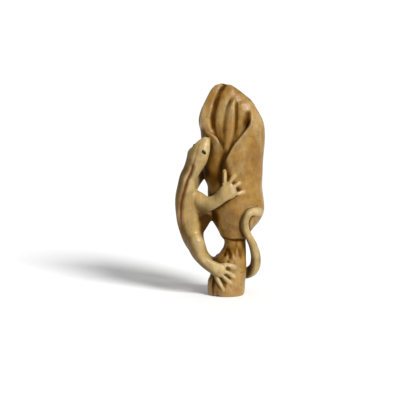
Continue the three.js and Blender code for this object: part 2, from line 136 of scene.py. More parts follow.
LEFT_FOLD = [
    [-1.8, -3.9, 47.6, 0.5, 1.2, 0],
    [-2.8, -3.4, 50.0, 0.75, 1.5, 5],
    [-4.1, -2.6, 52.6, 1.1, 1.8, 10],
    [-5.5, -2.2, 54.6, 1.6, 1.9, 15],
    [-6.2, -2.0, 56.6, 2.0, 1.9, 20],
    [-6.1, -1.8, 59.0, 2.15, 1.9, 20],
    [-5.5, -1.3, 61.6, 2.1, 1.8, 20],
    [-4.4, -0.6, 64.2, 1.85, 1.6, 20],
    [-3.3, -0.1, 66.4, 1.7, 1.4, 15],
    [-2.3, 0.4, 67.9, 1.3, 1.1, 10],
    [-1.3, 1.0, 69.0, 0.8, 0.5, 0],
]
BACK_FOLD = [
    [-1.1, -3.9, 46.6, 0.4, 1.2, 0],
    [-1.2, -3.7, 48.8, 0.65, 1.4, 5],
    [-1.5, -3.0, 51.4, 1.15, 1.7, 10],
    [-1.7, -2.0, 54.0, 1.75, 1.9, 15],
    [-1.6, -1.6, 57.4, 2.05, 1.9, 20],
    [-1.1, -1.3, 60.8, 2.1, 1.9, 20],
    [-0.1, -0.7, 63.8, 2.3, 1.7, 15],
    [0.9, -0.1, 66.3, 2.3, 1.4, 10],
    [0.9, 0.9, 68.4, 1.2, 0.8, 0],
]
MIDDLE_FOLD = [
    [-0.8, -5.2, 44.0, 0.5, 1.0, 0],
    [-0.3, -4.7, 46.4, 0.75, 1.4, 0],
    [0.3, -4.2, 48.8, 1.15, 1.6, 0],
    [0.9, -3.9, 51.4, 1.5, 1.7, 5],
    [1.3, -3.6, 54.0, 1.6, 1.7, 5],
    [1.6, -3.3, 57.4, 1.55, 1.7, 5],
    [1.9, -2.9, 60.6, 1.3, 1.6, 5],
    [2.4, -2.5, 62.9, 0.75, 1.4, 5],
    [2.8, -2.0, 64.3, 0.4, 0.9, 0],
]
RIGHT_FOLD = [
    [1.2, -4.5, 46.4, 0.9, 1.2, 0],
    [2.2, -4.1, 48.8, 1.1, 1.5, 0],
    [3.4, -3.4, 51.6, 1.4, 1.7, -5],
    [4.7, -2.8, 54.4, 1.8, 1.7, -10],
    [5.5, -2.4, 57.0, 2.3, 1.7, -15],
    [6.0, -1.9, 60.0, 2.7, 1.7, -15],
    [6.1, -1.3, 62.2, 2.7, 1.5, -15],
    [6.1, -0.6, 63.7, 2.4, 0.9, -10],
]
FOLD_FLATNESS = 2.6  # 2 is an oval section, more is nearer to a rectangle

# The stalk, from its flat foot up into the leaf, in the same terms as LEAF.
STALK = [
    [0.0, 0.2, 0.0, 5.7, 5.4],
    [0.7, 0.2, 0.0, 6.0, 5.7],
    [4.6, 0.3, 0.0, 6.2, 5.8],
    [6.4, 0.8, 0.1, 6.0, 5.5],
    [9.0, 1.1, 0.2, 5.8, 5.2],
    [12.0, 1.7, 0.3, 5.1, 4.7],
    [15.0, 2.9, 0.4, 3.9, 3.8],
    [17.2, 3.2, 0.4, 3.5, 3.4],
    [20.5, 3.1, 0.5, 3.6, 3.4],
]


def smoothstep(low, high, x):
    """0 up to low, 1 from high on, and 3s^2 - 2s^3 between them."""
    s = np.clip((x - low) / (high - low), 0, 1)
    return s * s * (3 - 2 * s)


def through(rows, stations):
    """Smooth values between rows of numbers, whose first column is the station: a cubic from row
    to row, whose slope at a row is that of the line between the rows beside it."""
    rows = np.asarray(rows, float)
    at = rows[:, 0]
    before = np.maximum(np.arange(len(rows)) - 1, 0)
    after = np.minimum(np.arange(len(rows)) + 1, len(rows) - 1)
    slope = (rows[after] - rows[before]) / (at[after] - at[before])[:, None]
    i = np.clip(np.searchsorted(at, stations, side="right") - 1, 0, len(rows) - 2)
    span = (at[i + 1] - at[i])[:, None]
    u = np.clip((stations - at[i])[:, None] / span, 0, 1)
    turn = rows[i + 1] - rows[i]
    start, end = slope[i] * span, slope[i + 1] * span
    values = rows[i] + u * (start + u * (3 * turn - 2 * start - end + u * (start + end - 2 * turn)))
    return values[:, 1:]


def oval_points(rows, z, degrees, share=1.0, inset=0.0):
    """Points round the oval sections of a form at heights z: the centre plus the half width times
    the sine and minus the half depth times the cosine of the angle, in from it by inset."""
    x, y, width, depth = through(rows, z).T[:, :, None]
    angle = np.radians(degrees)
    across = x + (width * share - inset) * np.sin(angle)
    along = y - (depth * share - inset) * np.cos(angle)
    return np.stack([across, along, np.broadcast_to(z[:, None], across.shape)], axis=2)


def half_blade(z, first, last, share, strips):
    """One half of the blade: at each height a band of the leaf's form between two angles, its
    outer side out and its inner side back, so that each ring is a closed loop."""
    u = np.linspace(0, 1, strips + 1)[None, :]
    degrees = first + (last - first) * u
    inwards = np.minimum(1, (1 - u) / RIM_SHARE)
    thickness = RIM_THICKNESS + (BLADE_THICKNESS - RIM_THICKNESS) * inwards
    outer = oval_points(LEAF, z, degrees, share(u, z[:, None]))
    inner = oval_points(LEAF, z, degrees, share(u, z[:, None]), thickness)
    return np.concatenate([outer, inner[:, ::-1]], axis=1)


def right_half_share(u, z):
    """Low down the rim sinks in by RIGHT_EDGE_SINK of the leaf's radius."""
    sink = RIGHT_EDGE_SINK * (1 - smoothstep(EDGE_SUNK, EDGE_FREE, z))
    return 1 - sink * smoothstep(1 - RIM_SHARE, 1, u)


def left_half_share(u, z):
    """The outer half of the blade turns in low down and out at the top."""
    turn = -LEFT_EDGE_TUCK + (LEFT_EDGE_LIP + LEFT_EDGE_TUCK) * smoothstep(LIP_FROM, LIP_TO, z)
    return LEFT_HALF_SHARE + turn * smoothstep(0.5, 1, u)


def sweep(rows, facing, rings=96, sides=48, flatness=2.0):
    """An oval carried along a path of [x, y, z, half width, half height]. Its height points as
    near as it can to facing, square to the path. With flatness n it is the superoval
    |across|**n + |up|**n = 1: 2 is an oval, more is nearer to a rectangle."""
    rows = np.asarray(rows, float)
    stations = np.column_stack([np.arange(len(rows)), rows])
    last = len(rows) - 1
    t = np.linspace(0, last, rings)
    here = through(stations, t)
    ahead = through(stations, np.minimum(t + HEADING_STEP, last))
    behind = through(stations, np.maximum(t - HEADING_STEP, 0))
    heading = (ahead - behind)[:, :3]
    heading /= np.linalg.norm(heading, axis=1, keepdims=True)
    up = facing(here)
    up = up - heading * np.sum(up * heading, axis=1, keepdims=True)
    up /= np.linalg.norm(up, axis=1, keepdims=True)
    across = np.cross(up, heading)
    angle = np.linspace(0, 2 * np.pi, sides, endpoint=False)[None, :, None]
    powers = np.abs(np.sin(angle)) ** flatness + np.abs(np.cos(angle)) ** flatness
    share = powers ** (-1 / flatness)
    width, height = here[:, 3, None, None] * share, here[:, 4, None, None] * share
    ring = here[:, None, :3] + across[:, None] * width * np.sin(angle)
    return ring + up[:, None] * height * np.cos(angle)


def rolled(here):
    """The way a fold's front or the newt's back faces: -Y turned by the roll towards -X."""
    roll = np.radians(here[:, 5])
    return np.column_stack([-np.sin(roll), -np.cos(roll), np.zeros(len(roll))])


z = np.linspace(LEAF_FOOT, LEAF_TOP, 160)
right_rim = through(RIGHT_EDGE, z)
right_half = half_blade(z, RIGHT_HALF_END + 360, right_rim, right_half_share, 120)
z = np.linspace(LEAF_FOOT + RIM_THICKNESS, LEAF_TOP - RIM_THICKNESS, 160)
left_half = half_blade(z, LEFT_HALF_START, through(LEFT_EDGE, z), left_half_share, 60)
ring = np.linspace(0, 360, 72, endpoint=False)[None, :]
z = np.linspace(HEART[0][0], HEART[-1][0], 120)
heart = oval_points(HEART, z, ring)
z = np.linspace(STALK[0][0], STALK[-1][0], 60)
stalk = oval_points(STALK, z, ring)
leaf_skins = [right_half, left_half, heart, stalk]
leaf_skins += [
    sweep(rows, rolled, rings=160, flatness=FOLD_FLATNESS)
    for rows in (LEFT_FOLD, BACK_FOLD, MIDDLE_FOLD, RIGHT_FOLD)
]


# ---- Newt ------------------------------------------------------------------------------------
# The newt is left standing from the same piece of antler: body and tail in one long sweep, four
# limbs that grow out of it and flatten into palms, and four blunt fingers or toes to each.

# From snout to tail tip: [x, y, z, half width, half height, roll]. Roll turns the back from the
# front, -Y, towards -X, in degrees.
NEWT = [
    [-6.2, -5.6, 52.2, 0.9, 0.7, 48],
    [-6.6, -5.9, 51.0, 1.8, 1.6, 50],
    [-7.7, -6.0, 48.7, 2.9, 2.6, 51],
    [-9.3, -5.4, 45.3, 3.5, 3.0, 46],
    [-11.0, -4.3, 41.6, 2.9, 2.6, 36],
    [-12.4, -3.3, 38.2, 2.9, 2.8, 34],
    [-12.6, -1.9, 32.0, 3.8, 4.1, 36],
    [-11.9, -1.2, 26.6, 3.9, 4.8, 36],
    [-11.2, -0.9, 21.4, 3.8, 3.9, 40],
    [-9.8, 0.3, 16.8, 3.3, 3.1, 62],
    [-7.3, 3.4, 12.2, 2.2, 2.2, 112],
    [-2.8, 6.2, 8.2, 1.9, 1.9, 160],
    [2.8, 6.7, 6.4, 1.9, 1.9, 206],
    [7.0, 4.7, 6.2, 1.9, 1.9, 240],
    [9.5, 1.9, 8.4, 1.85, 1.85, 260],
    [10.0, -0.6, 12.4, 1.65, 1.65, 274],
    [9.1, -2.4, 16.4, 1.45, 1.45, 284],
    [7.5, -3.7, 19.8, 1.25, 1.25, 296],
    [6.4, -5.0, 22.6, 1.15, 1.15, 310],
    [6.3, -6.2, 25.6, 1.15, 1.1, 326],
    [7.8, -6.2, 27.9, 1.2, 1.1, 312],
    [10.0, -4.2, 28.1, 1.25, 1.0, 292],
    [11.5, -0.8, 27.4, 1.0, 0.7, 268],
    [11.2, 3.8, 26.6, 0.3, 0.3, 245],
]
BELLY = [
    [-9.7, -0.7, 19.6, 1.5, 1.4, 0],
    [-8.3, -0.5, 23.6, 2.6, 2.6, 0],
    [-7.2, -0.3, 27.4, 3.2, 3.2, 0],
    [-7.6, -0.4, 30.6, 2.4, 2.4, 0],
]

# The limbs from root to palm: [x, y, z, half width, half thickness].
LIMBS = {
    "right_arm": [
        [-12.2, -1.2, 31.8, 2.6, 2.6],
        [-9.2, -3.1, 31.1, 3.6, 2.7],
        [-5.9, -4.7, 30.6, 2.5, 2.2],
        [-3.0, -6.1, 31.9, 2.1, 1.7],
        [-0.8, -7.2, 33.9, 2.4, 1.3],
        [0.7, -7.4, 35.3, 3.0, 1.0],
        [1.7, -7.3, 36.3, 2.4, 0.7],
        [2.3, -7.2, 36.9, 1.2, 0.4],
    ],
    "left_arm": [
        [-12.0, -0.8, 34.0, 2.0, 2.0],
        [-10.6, 1.4, 36.4, 2.2, 2.0],
        [-8.4, 3.9, 39.2, 2.3, 1.8],
        [-5.6, 6.5, 41.0, 2.1, 1.4],
        [-2.8, 8.4, 41.6, 2.3, 0.9],
        [-1.6, 8.9, 41.8, 1.3, 0.4],
    ],
    "right_leg": [
        [-11.0, -1.4, 22.4, 2.2, 2.4],
        [-9.8, -2.8, 17.8, 3.6, 2.9],
        [-8.6, -3.4, 14.6, 3.3, 2.6],
        [-7.2, -3.9, 12.4, 2.5, 2.2],
        [-5.7, -4.3, 10.7, 2.2, 1.8],
        [-3.4, -4.9, 9.4, 2.4, 1.4],
        [-1.4, -5.4, 8.6, 2.4, 0.9],
        [-0.4, -5.4, 8.2, 1.4, 0.5],
    ],
    "left_leg": [
        [-9.8, 0.6, 18.2, 1.9, 2.0],
        [-8.2, 1.0, 13.9, 1.8, 1.8],
        [-6.0, 1.7, 10.6, 1.6, 1.5],
        [-3.8, 3.4, 9.9, 1.6, 1.3],
        [-1.6, 5.0, 11.3, 2.0, 0.9],
        [-0.8, 5.2, 12.1, 1.2, 0.4],
    ],
}

# Fingers and toes, each [x, z] of its knuckle, middle and tip, on the leaf or the stalk, on its
# front (side -1) or its back (side 1).
DIGITS = {
    "right_hand": {
        "on": "leaf", "side": -1, "radius": 0.64,
        "paths": [
            [[-0.2, 36.2], [-0.4, 38.9], [-0.4, 41.3]],
            [[0.6, 36.3], [1.5, 38.2], [2.9, 40.0]],
            [[1.4, 35.9], [3.0, 36.8], [4.6, 37.8]],
            [[1.9, 34.8], [3.8, 34.2], [5.6, 34.7]],
        ],
    },
    "left_hand": {
        "on": "leaf", "side": 1, "radius": 0.72,
        "paths": [
            [[-2.8, 42.6], [-1.8, 45.0], [-0.4, 46.8]],
            [[-2.0, 42.4], [0.2, 43.6], [2.0, 44.4]],
            [[-2.0, 41.6], [0.4, 41.2], [2.6, 40.8]],
            [[-2.8, 41.2], [-1.2, 39.2], [0.4, 37.8]],
        ],
    },
    "right_foot": {
        "on": "stalk", "side": -1, "radius": 0.62,
        "paths": [
            [[-1.6, 10.4], [0.8, 10.5], [3.0, 9.8]],
            [[-1.6, 9.2], [0.6, 8.1], [2.7, 6.9]],
            [[-2.3, 8.4], [-0.3, 6.3], [1.6, 4.8]],
            [[-3.4, 7.6], [-2.2, 4.9], [-0.9, 2.7]],
        ],
    },
    "left_foot": {
        "on": "stalk", "side": 1, "radius": 0.7,
        "paths": [
            [[-1.4, 12.2], [-0.8, 14.2], [0.2, 15.8]],
            [[-0.8, 12.4], [0.8, 13.8], [2.2, 14.8]],
            [[-0.6, 11.8], [1.4, 12.0], [3.2, 12.4]],
            [[-0.8, 11.0], [1.0, 10.2], [2.8, 10.0]],
        ],
    },
}
# At the knuckle, middle and tip: how far the middle of a digit stands out from the form, and its
# share of the radius. Its round end is a last point, FINGERTIP of the last stretch further on.
DIGIT_LIFT = np.array([0.35, 0.25, 0.05])
DIGIT_TAPER = np.array([1.2, 0.85, 0.35])
FINGERTIP = 0.12
FINGERTIP_TAPER = 0.2


def away_from(form):
    """Straight out from the axis of the leaf or the stalk."""

    def facing(here):
        """Each place less the centre of the form at its height, level."""
        centre = through(form, here[:, 2])
        return np.column_stack([here[:, :2] - centre[:, :2], np.zeros(len(here))])

    return facing


def on_form(form, side, points, lift):
    """Points (x, z) laid on the front or back of a form: y from its oval section, plus the lift."""
    points = np.asarray(points, float)
    x, y, width, depth = through(form, points[:, 1]).T
    across = np.clip((points[:, 0] - x) / width, -0.98, 0.98)
    out = y + side * (depth * np.sqrt(1 - across**2) + lift)
    return np.column_stack([points[:, 0], out, points[:, 1]])


def digit(form, side, radius, path):
    """A finger or toe: knuckle, middle, tip and the round of the tip, each with its thickness."""
    path = np.asarray(path, float)
    path = np.vstack([path, path[2] + (path[2] - path[1]) * FINGERTIP])
    lift = np.append(DIGIT_LIFT, 0)
    thickness = radius * np.append(DIGIT_TAPER, FINGERTIP_TAPER)
    return np.column_stack([on_form(form, side, path, lift), thickness, thickness])


newt_rows = [(NEWT, rolled), (BELLY, rolled)]
for name, rows in LIMBS.items():
    newt_rows.append((rows, away_from(LEAF if name.endswith("arm") else STALK)))
for hand in DIGITS.values():
    form = LEAF if hand["on"] == "leaf" else STALK
    for path in hand["paths"]:
        newt_rows.append((digit(form, hand["side"], hand["radius"], path), away_from(form)))
newt_skins = [sweep(NEWT, rolled, rings=320)]
newt_skins += [sweep(rows, facing, rings=64, sides=32) for rows, facing in newt_rows[1:]]


# ---- The carving: leaf, stalk and newt in one ------------------------------------------------
# The skins above overlap. They are joined into one surface, the corners where they meet are
# rounded out as a scraper leaves them, and the fine grooves are cut into it.

VOXEL = 0.2  # of the joined surface, about a fifth of a finger's width
FIELD_REACH = 0.9  # how far from the surface the grid of distances goes
CORNER = 0.3  # radius that the carver's tools leave in a hollow corner
FOOT_SLAB = 0.35  # height of the foot that smoothing leaves flat
RELAX_ROUNDS = 5  # of smoothing
FILL_STEP = 0.8  # of the way out of a hollow that one round of filling goes
JOINT_FILL, CORNER_FILL, GROOVE_FILL, STEP_FILL = 60, 4, 40, 25  # rounds of filling
CARVING_TRIANGLES = 190000


def closed_faces(rings, sides, start):
    """Quads between neighbouring rings, and strips of quads across the first and the last."""
    i, j = np.meshgrid(np.arange(rings - 1), np.arange(sides), indexing="ij")
    a, b = i * sides + j, i * sides + (j + 1) % sides
    wall = np.stack([a, b, b + sides, a + sides], axis=2).reshape(-1, 4)
    k = np.arange(sides // 2 - 1)
    bottom = np.column_stack([k, sides - 1 - k, sides - 2 - k, k + 1])
    top = bottom[:, ::-1] + (rings - 1) * sides
    return np.vstack([wall, bottom, top]) + start


def distance_field(points, faces, size, reach):
    """A grid of voxels that holds the distance to a closed surface, less than 0 inside it."""
    return openvdb.FloatGrid.createLevelSetFromPolygons(
        points.astype(np.float32),
        quads=faces.astype(np.uint32),
        transform=openvdb.createLinearTransform(voxelSize=size),
        halfWidth=reach / size,
    )


def surface_at(field, distance):
    """The points and outward quads of the surface at one distance."""
    points, triangles, faces = field.convertToPolygons(isovalue=distance)
    return points.astype(float), faces[:, ::-1].astype(int)


def mesh_object(name, points, faces):
    """A new object at the origin, with a mesh of these points in metres and these faces."""
    mesh = bpy.data.meshes.new(name)
    mesh.from_pydata(points.tolist(), [], faces.tolist())
    mesh.validate()
    piece = bpy.data.objects.new(name, mesh)
    bpy.context.scene.collection.objects.link(piece)
    return piece


points, faces, start = [], [], 0
for skin in leaf_skins + newt_skins:
    points.append(skin.reshape(-1, 3))
    faces.append(closed_faces(skin.shape[0], skin.shape[1], start))
    start += len(points[-1])
soup = distance_field(np.vstack(points), np.vstack(faces), VOXEL, FIELD_REACH)
points, faces = surface_at(soup, CORNER)
points, faces = surface_at(distance_field(points, faces, VOXEL, FIELD_REACH), -CORNER)


def joined_parts(count, faces):
    """Labels the points by the closed surface that they belong to: each takes the lowest label
    of its faces until none changes."""
    label = np.arange(count)
    while True:
        lowest = label[faces].min(axis=1)
        fresh = label.copy()
        for corner in range(faces.shape[1]):
            np.minimum.at(fresh, faces[:, corner], lowest)
        fresh = fresh[fresh]
        if np.array_equal(fresh, label):
            return label
        label = fresh


def only_outer(points, faces):
    """Leaves out the walls of hollows that are sealed off inside."""
    label = joined_parts(len(points), faces)
    kept = label == np.bincount(label).argmax()
    number = np.cumsum(kept) - 1
    return points[kept], number[faces[kept[faces[:, 0]]]]


points, faces = only_outer(points, faces)
carving = mesh_object("carved_newt_and_leaf", points * MM, faces)
edges = np.empty(len(carving.data.edges) * 2, np.int32)
carving.data.edges.foreach_get("vertices", edges)
edges = edges.reshape(-1, 2)


def normals_of(piece, points):
    """The normals that a piece has with its points moved to new places."""
    piece.data.vertices.foreach_set("co", (points * MM).ravel())
    piece.data.update()
    normals = np.empty(len(points) * 3, np.float32)
    piece.data.vertex_normals.foreach_get("vector", normals)
    return normals.reshape(-1, 3)


def neighbour_mean(values, edges):
    """The mean of each point's neighbours along the edges."""
    count = np.bincount(edges.ravel(), minlength=len(values))[:, None]
    a, b = edges.T
    total = np.column_stack([
        np.bincount(a, column[b], len(values)) + np.bincount(b, column[a], len(values))
        for column in values.T
    ])
    return total / count


def gap_to(points, rows_and_facings, per_row=6):
    """How far each point is from the skin of the nearest of some sweeps, taken as balls strung
    along them: the distance to a ball's centre less its radius."""
    nearest = np.full(len(points), 1e9)
    for rows, _ in rows_and_facings:
        rows = np.asarray(rows, float)
        stations = np.column_stack([np.arange(len(rows)), rows])
        balls = through(stations, np.linspace(0, len(rows) - 1, (len(rows) - 1) * per_row + 1))
        for ball in balls:
            away = np.linalg.norm(points - ball[:3], axis=1) - (ball[3] + ball[4]) / 2
            np.minimum(nearest, away, out=nearest)
    return nearest


foot = points[:, 2] < FOOT_SLAB
for _ in range(RELAX_ROUNDS):
    relaxed = neighbour_mean(points, edges)
    relaxed[foot] = points[foot]
    points = relaxed


def fill_corners(points, rounds, where):
    """Rounds out hollow corners only: each round lifts a point along its normal, never down, to
    the plane of its neighbours, as far as the weight lets it."""
    for _ in range(rounds):
        normal = normals_of(carving, points)
        hollow = np.sum((neighbour_mean(points, edges) - points) * normal, axis=1)
        points = points + normal * (np.maximum(hollow, 0) * FILL_STEP * where)[:, None]
    return points


body_rows, limb_rows, digit_rows = newt_rows[:2], newt_rows[2:6], newt_rows[6:]
body_gap = gap_to(points, body_rows)
limb_gap = gap_to(points, limb_rows)
digit_gap = gap_to(points, digit_rows)
newt_gap = np.minimum(np.minimum(body_gap, limb_gap), digit_gap)
on_newt_skin = 1 - smoothstep(0.15, 0.55, newt_gap)
among_digits = 1 - smoothstep(0.3, 1.5, digit_gap)
near_body, near_limb = 1 - smoothstep(0.8, 2.6, body_gap), 1 - smoothstep(0.8, 2.6, limb_gap)
joint = near_body * near_limb * (1 - among_digits)
points = fill_corners(points, JOINT_FILL, joint)
points = fill_corners(points, CORNER_FILL, 1 - 0.7 * among_digits)


def distance_to(points, line):
    """The distance from each point to the nearest of a close row of points."""
    nearest = np.full(len(points), 1e9)
    for place in line:
        np.minimum(nearest, np.linalg.norm(points - place, axis=1), out=nearest)
    return nearest


# Two of the grooves between the folds, as [x, z] seen from the front. The first runs down from the
# leaf's tip and is brown all along. The one left of the middle fold is shallower than the rest.
TIP_GROOVE = [[-4.1, 55.4], [-4.4, 58.6], [-3.7, 61.7], [-2.5, 65.7], [0.1, 69.2]]
SHALLOW_GROOVE = [[-1.2, 51.0], [-0.5, 54.9], [0.1, 58.2], [1.0, 61.5], [2.2, 63.4]]


def bell_round(path, width):
    """1 along a path of [x, z] on the front, falling off as a bell to either side."""
    stations = np.column_stack([np.arange(len(path)), path])
    line = through(stations, np.linspace(0, len(path) - 1, 80))
    return np.exp(-((distance_to(points[:, [0, 2]], line) / width) ** 2)) * (points[:, 1] < 3)


points = fill_corners(points, GROOVE_FILL, bell_round(SHALLOW_GROOVE, 0.9))

# The step where the stalk goes into the leaf is pared away, and a fine crease is cut above it.
FOOT_CREASE = 18.8  # its height
step = np.exp(-(((points[:, 2] - LEAF_FOOT) / 0.8) ** 2)) * (1 - on_newt_skin)
points = fill_corners(points, STEP_FILL, step)


def waves(points, size, seed, count=24):
    """Smooth seeded noise between about -1 and 1: a sum of sine waves in random directions,
    none shorter than size."""
    rng = np.random.default_rng(seed)
    direction = rng.normal(size=(count, 3))
    direction /= np.linalg.norm(direction, axis=1, keepdims=True)
    length = size * rng.uniform(1, 2.5, count)
    start = rng.uniform(0, 2 * np.pi, count)
    total = np.zeros(len(points))
    for way, span, phase in zip(direction, length, start):
        total += np.sin(points @ way * 2 * np.pi / span + phase)
    return total / np.sqrt(count)


# The groove down the newt's back: [row of NEWT, degrees from the line of the back], from the
# nape, and the faint ridge that runs down the head to it from the brow.
BACK_GROOVE = [[3.5, 26], [4.2, 30], [5.0, 28], [5.6, 16], [6.2, 6], [7.2, 0], [8.2, -4]]
HEAD_LINE = [[1.7, 10], [2.4, 20], [3.0, 24], [3.6, 27]]
EYE_AT = 2.1  # row of NEWT
EYE_ANGLES = np.array([65.0, -58.0])  # degrees from the line of the back
CHEEK_AT, CHEEK_ANGLE = np.array([2.75]), np.array([-62.0])  # of the far cheek, in these terms
GROOVE_WIDTH, GROOVE_DEPTH = 0.5, 0.34
RIDGE_OFF, RIDGE_WIDTH, RIDGE_HEIGHT = 1.3, 0.6, 0.12  # beside the groove
HEAD_LINE_WIDTH, HEAD_LINE_DEPTH = 0.4, 0.1
EYE_BULGE, EYE_BULGE_REACH, NEAR_SIDE_FROM = 0.3, 1.3, -9  # only the near eye stands out
CHEEK_BULGE, CHEEK_REACH = 0.5, 1.5
LEAF_WAVES, NEWT_WAVES = 0.1, 0.04  # height of the carver's tool marks
CREASE_WIDTH, CREASE_DEPTH, CREASE_WANDER = 0.4, 0.16, 0.25


def on_newt(rows, stations, degrees):
    """Points on the skin of the body at stations along it, at angles from the line of its back."""
    rows = np.asarray(rows, float)
    table = np.column_stack([np.arange(len(rows)), rows])
    here = through(table, stations)
    ahead, behind = through(table, stations + HEADING_STEP), through(table, stations - HEADING_STEP)
    heading = (ahead - behind)[:, :3]
    heading /= np.linalg.norm(heading, axis=1, keepdims=True)
    up = rolled(here)
    up -= heading * np.sum(up * heading, axis=1, keepdims=True)
    up /= np.linalg.norm(up, axis=1, keepdims=True)
    across = np.cross(up, heading)
    angle = np.radians(degrees)[:, None]
    return here[:, :3] + across * here[:, 3:4] * np.sin(angle) + up * here[:, 4:5] * np.cos(angle)


def line_on_newt(rows):
    """A close row of points on the newt's skin through rows of [row of NEWT, degrees]."""
    rows = np.asarray(rows, float)
    stations = np.linspace(rows[0, 0], rows[-1, 0], 160)
    return on_newt(NEWT, stations, through(rows, stations)[:, 0])


eye_spots = on_newt(NEWT, np.full(2, EYE_AT), EYE_ANGLES)
from_eye = distance_to(points, eye_spots)
from_groove = distance_to(points, line_on_newt(BACK_GROOVE))
from_head_line = distance_to(points, line_on_newt(HEAD_LINE))
height_fade = smoothstep(16, 30, points[:, 2]) * (1 - 0.5 * smoothstep(40, 44, points[:, 2]))
groove = np.exp(-((from_groove / GROOVE_WIDTH) ** 2)) * height_fade
beside_line = (from_groove - RIDGE_OFF) / RIDGE_WIDTH
ridge = np.exp(-(beside_line**2)) * height_fade * (body_gap < 0.8)
head_line = np.exp(-((from_head_line / HEAD_LINE_WIDTH) ** 2))
relief = RIDGE_HEIGHT * ridge - GROOVE_DEPTH * groove - HEAD_LINE_DEPTH * head_line
from_cheek = distance_to(points, on_newt(NEWT, CHEEK_AT, CHEEK_ANGLE))
eye_bulge = np.exp(-((from_eye / EYE_BULGE_REACH) ** 2)) * (points[:, 0] > NEAR_SIDE_FROM)
relief += EYE_BULGE * eye_bulge
relief += CHEEK_BULGE * np.exp(-((from_cheek / CHEEK_REACH) ** 2))
leaf_waves = LEAF_WAVES * waves(points, 9, 1) * (1 - on_newt_skin)
relief += leaf_waves + NEWT_WAVES * waves(points, 5, 2) * on_newt_skin
from_crease = points[:, 2] - FOOT_CREASE - CREASE_WANDER * waves(points, 4, 6)
foot_crease = np.exp(-((from_crease / CREASE_WIDTH) ** 2)) * (1 - on_newt_skin)

# The stalk keeps a knobbly patch of antler bark, and its base has a small chip at the front left:
# the middle of each, its reach to each side, and its height or depth.
BARK_AT, BARK_REACH, BARK_HEIGHT = [0.6, -4.6, 12.6], [3.2, 2.2, 2.6], 0.16
CHIP_AT, CHIP_REACH, CHIP_DEPTH = [-3.1, -5.1, 0.0], [1.1, 1.0, 0.75], 0.6


def patch(centre, reach):
    """About 1 inside an oval patch and 0 outside it: e to the minus fourth power of the distance
    from its centre, counted in its reach."""
    return np.exp(-(np.linalg.norm((points - centre) / reach, axis=1) ** 4))


bark = patch(BARK_AT, BARK_REACH)
bark *= 1 - on_newt_skin
relief += BARK_HEIGHT * bark * waves(points, 1.3, 3)
relief -= CREASE_DEPTH * foot_crease
relief -= CHIP_DEPTH * patch(CHIP_AT, CHIP_REACH)
points = points + normals_of(carving, points) * relief[:, None]
points[:, 2] = np.maximum(points[:, 2], 0)

# The leaf's tip is rubbed down to a round: above TIP_FROM a share TIP_LEFT of the height is left.
TIP_FROM = 68.9
TIP_LEFT = 0.35
above = np.maximum(points[:, 2] - TIP_FROM, 0)
points[:, 2] -= above * (1 - TIP_LEFT)

# How hollow the surface is: how far a point lies under the surface smoothed over a small width
# and a larger one, and how much of the air in front of it is shut in by other surfaces. Stain
# and dust stay in the hollows, and handling wears the ridges pale. Where the air is shut in, the
# colour is also darkened as painted shade.
normal = normals_of(carving, points)
smoothed, hollows = points, []
for rounds in (4, 30):
    for _ in range(rounds):
        smoothed = neighbour_mean(smoothed, edges)
    hollows.append(np.sum((smoothed - points) * normal, axis=1))
fine, middle = hollows

AIR = 0.5  # voxel of the field that the air is read in
AIR_REACH = 8
field = distance_field(points, faces, AIR, AIR_REACH)
low, high = field.evalActiveVoxelBoundingBox()
air = np.empty(np.array(high) - np.array(low) + 1, np.float32)
field.copyToArray(air, low)


def air_at(places):
    """The distance to the nearest surface at some places, read smoothly from the grid."""
    at = np.clip(places / AIR - np.array(low), 0, np.array(air.shape) - 1.001)
    corner = at.astype(int)
    share = at - corner
    total = np.zeros(len(places))
    for step in np.ndindex(2, 2, 2):
        weight = np.prod(np.where(step, share, 1 - share), axis=1)
        total += weight * air[tuple((corner + step).T)]
    return total


# Painted shade and dye: the more of the air in front of a point is shut in, the darker its colour
# is painted.
shut_in_shade_and_dye = np.zeros(len(points))
for reach, weight in ((1, 0.25), (2, 0.3), (4, 0.3), (6, 0.15)):
    shut_in_shade_and_dye += weight * np.clip(1 - air_at(points + normal * reach) / reach, 0, 1)
